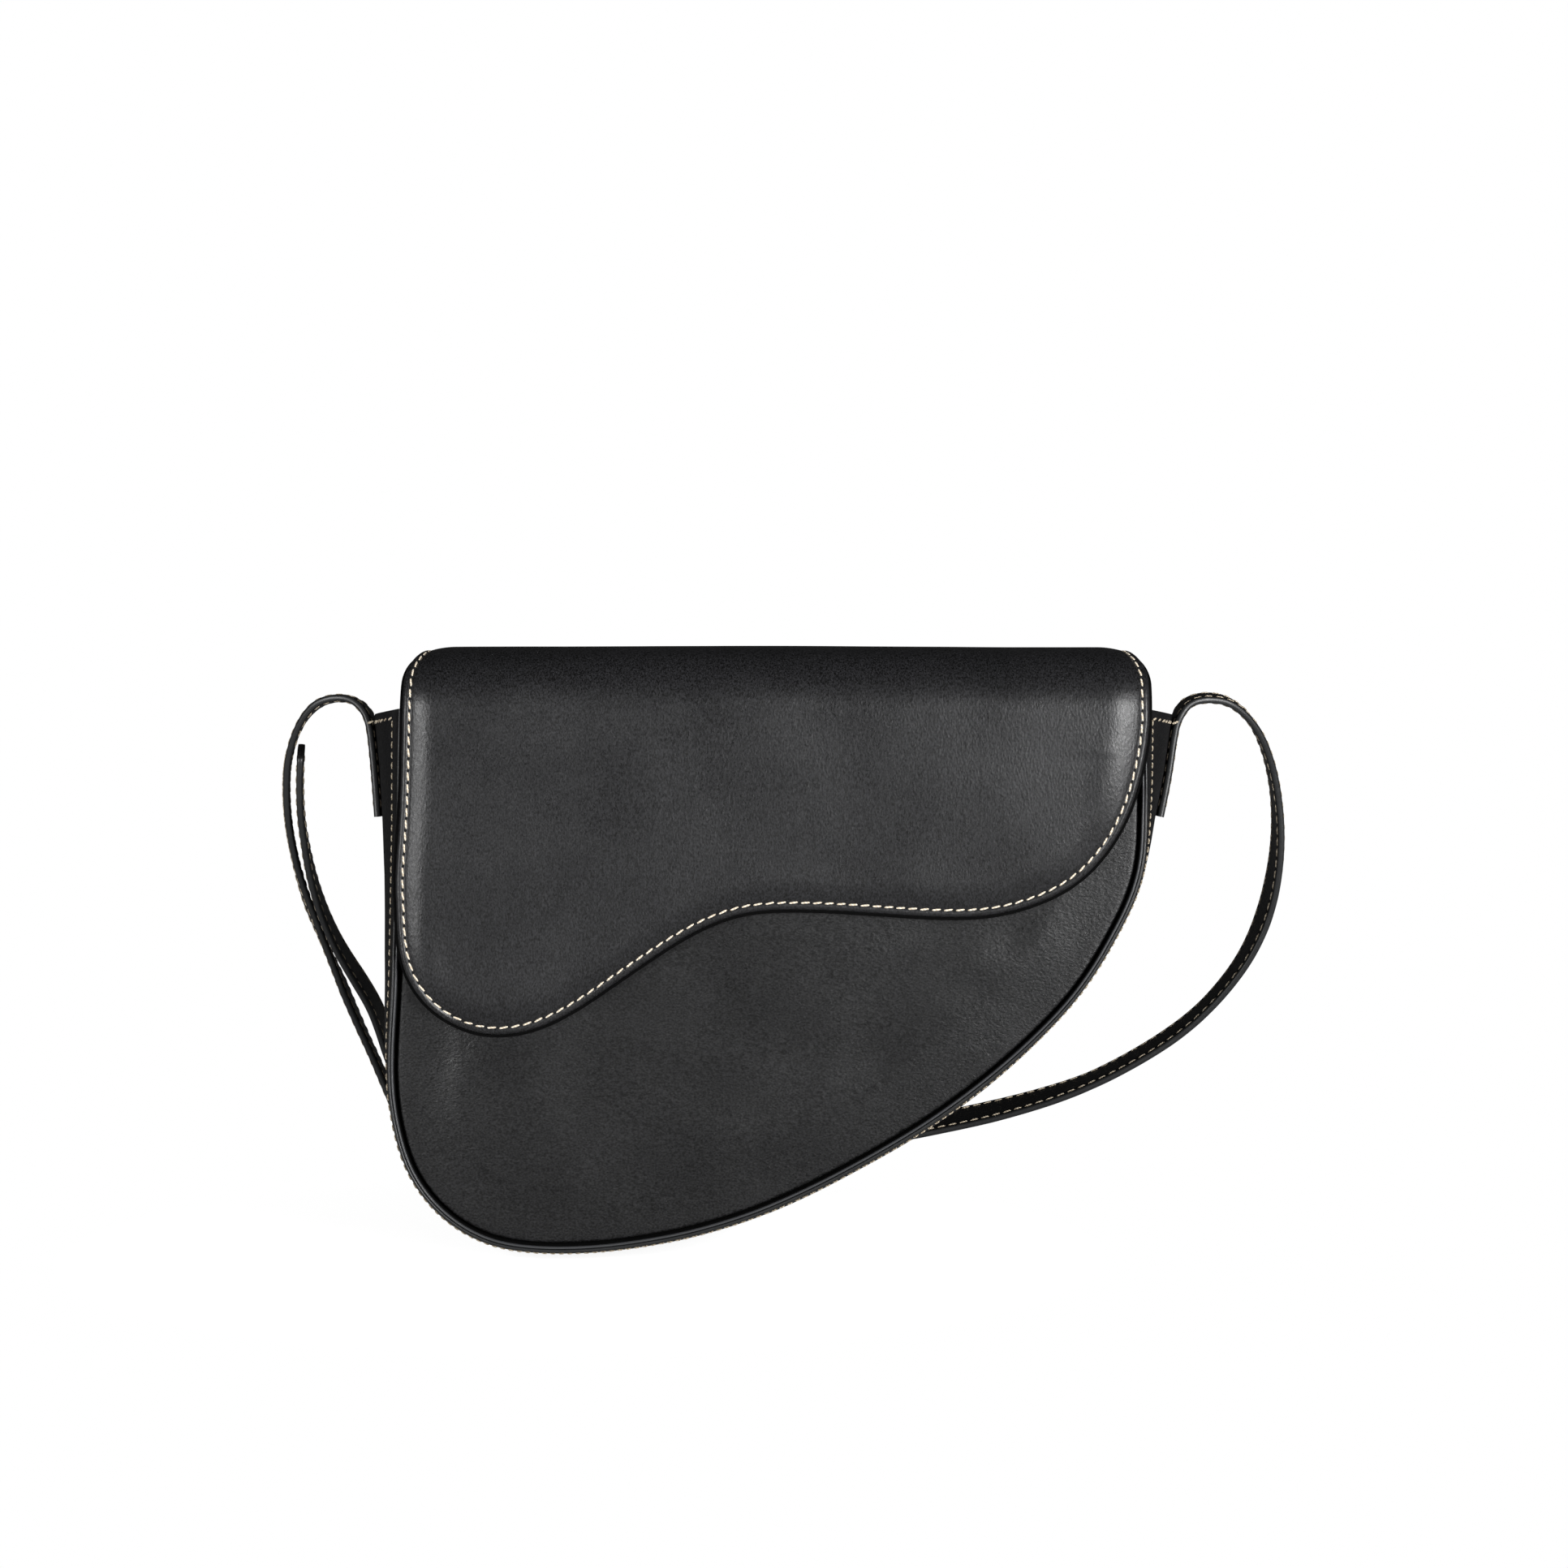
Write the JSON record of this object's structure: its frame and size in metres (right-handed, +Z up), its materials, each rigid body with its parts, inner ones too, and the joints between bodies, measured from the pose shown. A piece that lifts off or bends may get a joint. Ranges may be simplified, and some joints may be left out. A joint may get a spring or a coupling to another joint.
{
  "type": "shoulder bag",
  "caption": "Small black leather shoulder bag with an asymmetric rounded body, a wavy front flap with contrast stitching, and a flat buckled strap that loops from both sides.",
  "frame": {"origin": "on the back panel's flat face, midway across the bag and 110 mm over its lowest leather edge", "axes": "+Z up as the bag hangs, +Y out of its back, -Y out of its flap's front, +X to the right of someone who looks at the flap"},
  "size_m": [0.3901, 0.1126, 0.2295],
  "materials": {
    "black_leather": "smooth, semi-gloss, fine grain",
    "black_lining": "matte woven",
    "leatherboard": "matte bonded leatherboard",
    "foam": "matte foam",
    "dark_nickel": "polished dark nickel",
    "zip_tape": "matte woven tape"
  },
  "bodies": {
    "bag": {"gusset": "black_leather", "gusset_lining": "black_lining", "front_panel": "black_leather", "front_foam": "foam", "front_board": "leatherboard", "front_lining": "black_lining", "front_facing": "black_leather", "back_panel": "black_leather", "back_foam": "foam", "back_board": "leatherboard", "back_lining": "black_lining", "back_facing": "black_leather", "flap_rear_leather": "black_leather", "flap_rear_lining": "black_lining", "snap_cup": "dark_nickel", "snap_cup_washer": "dark_nickel", "strap_end_left": "black_leather", "strap_end_right": "black_leather", "zip_tape_upper": "zip_tape", "zip_tape_lower": "zip_tape", "zip_teeth_upper": "dark_nickel", "zip_teeth_lower": "dark_nickel", "zip_stop_left": "dark_nickel", "zip_stop_right": "dark_nickel", "pocket_pouch": "black_lining"},
    "flap_top": {"flap_top_leather": "black_leather", "flap_top_lining": "black_lining"},
    "flap_front": {"flap_front_leather": "black_leather", "flap_front_lining": "black_lining", "flap_front_pad": "foam", "snap_stud": "dark_nickel", "snap_stud_washer": "dark_nickel"},
    "strap": {"strap_short": "black_leather", "strap_long": "black_leather", "buckle_frame": "dark_nickel", "keeper_fixed": "black_leather"},
    "loose_keeper": {"keeper_sliding": "black_leather"},
    "prong": {"buckle_prong": "dark_nickel"},
    "slider": {"zip_slider": "dark_nickel"},
    "puller": {"zip_puller": "dark_nickel"}
  },
  "joints": [
    {"name": "flap_lift", "type": "hinge", "parent": "bag", "child": "flap_top", "pos_m": [0, 0.0001, 0.1114], "axis": [-1, 0, 0], "range_deg": [0, 110]},
    {"name": "flap_bend", "type": "hinge", "parent": "flap_top", "child": "flap_front", "pos_m": [0, -0.06837, 0.10847], "axis": [-1, 0, 0], "range_deg": [0, 80]},
    {"name": "strap_swing", "type": "hinge", "parent": "bag", "child": "strap", "pos_m": [0, -0.03323, 0.09716], "axis": [1, 0, 0], "range_deg": [0, 165]},
    {"name": "keeper_slide", "type": "slide", "parent": "strap", "child": "loose_keeper", "axis": [1, 0, 0], "range_m": [-0.006, 0.005]},
    {"name": "prong_tilt", "type": "hinge", "parent": "strap", "child": "prong", "pos_m": [-0.066, 0.024, -0.0865], "axis": [0, -1, 0], "range_deg": [0, 80]},
    {"name": "zip_slide", "type": "slide", "parent": "bag", "child": "slider", "axis": [-1, 0, 0], "range_m": [0, 0.125]},
    {"name": "puller_turn", "type": "hinge", "parent": "slider", "child": "puller", "pos_m": [0.05148, -0.0147, 0.046], "axis": [0, 0, 1], "range_deg": [0, 170]}
  ]
}
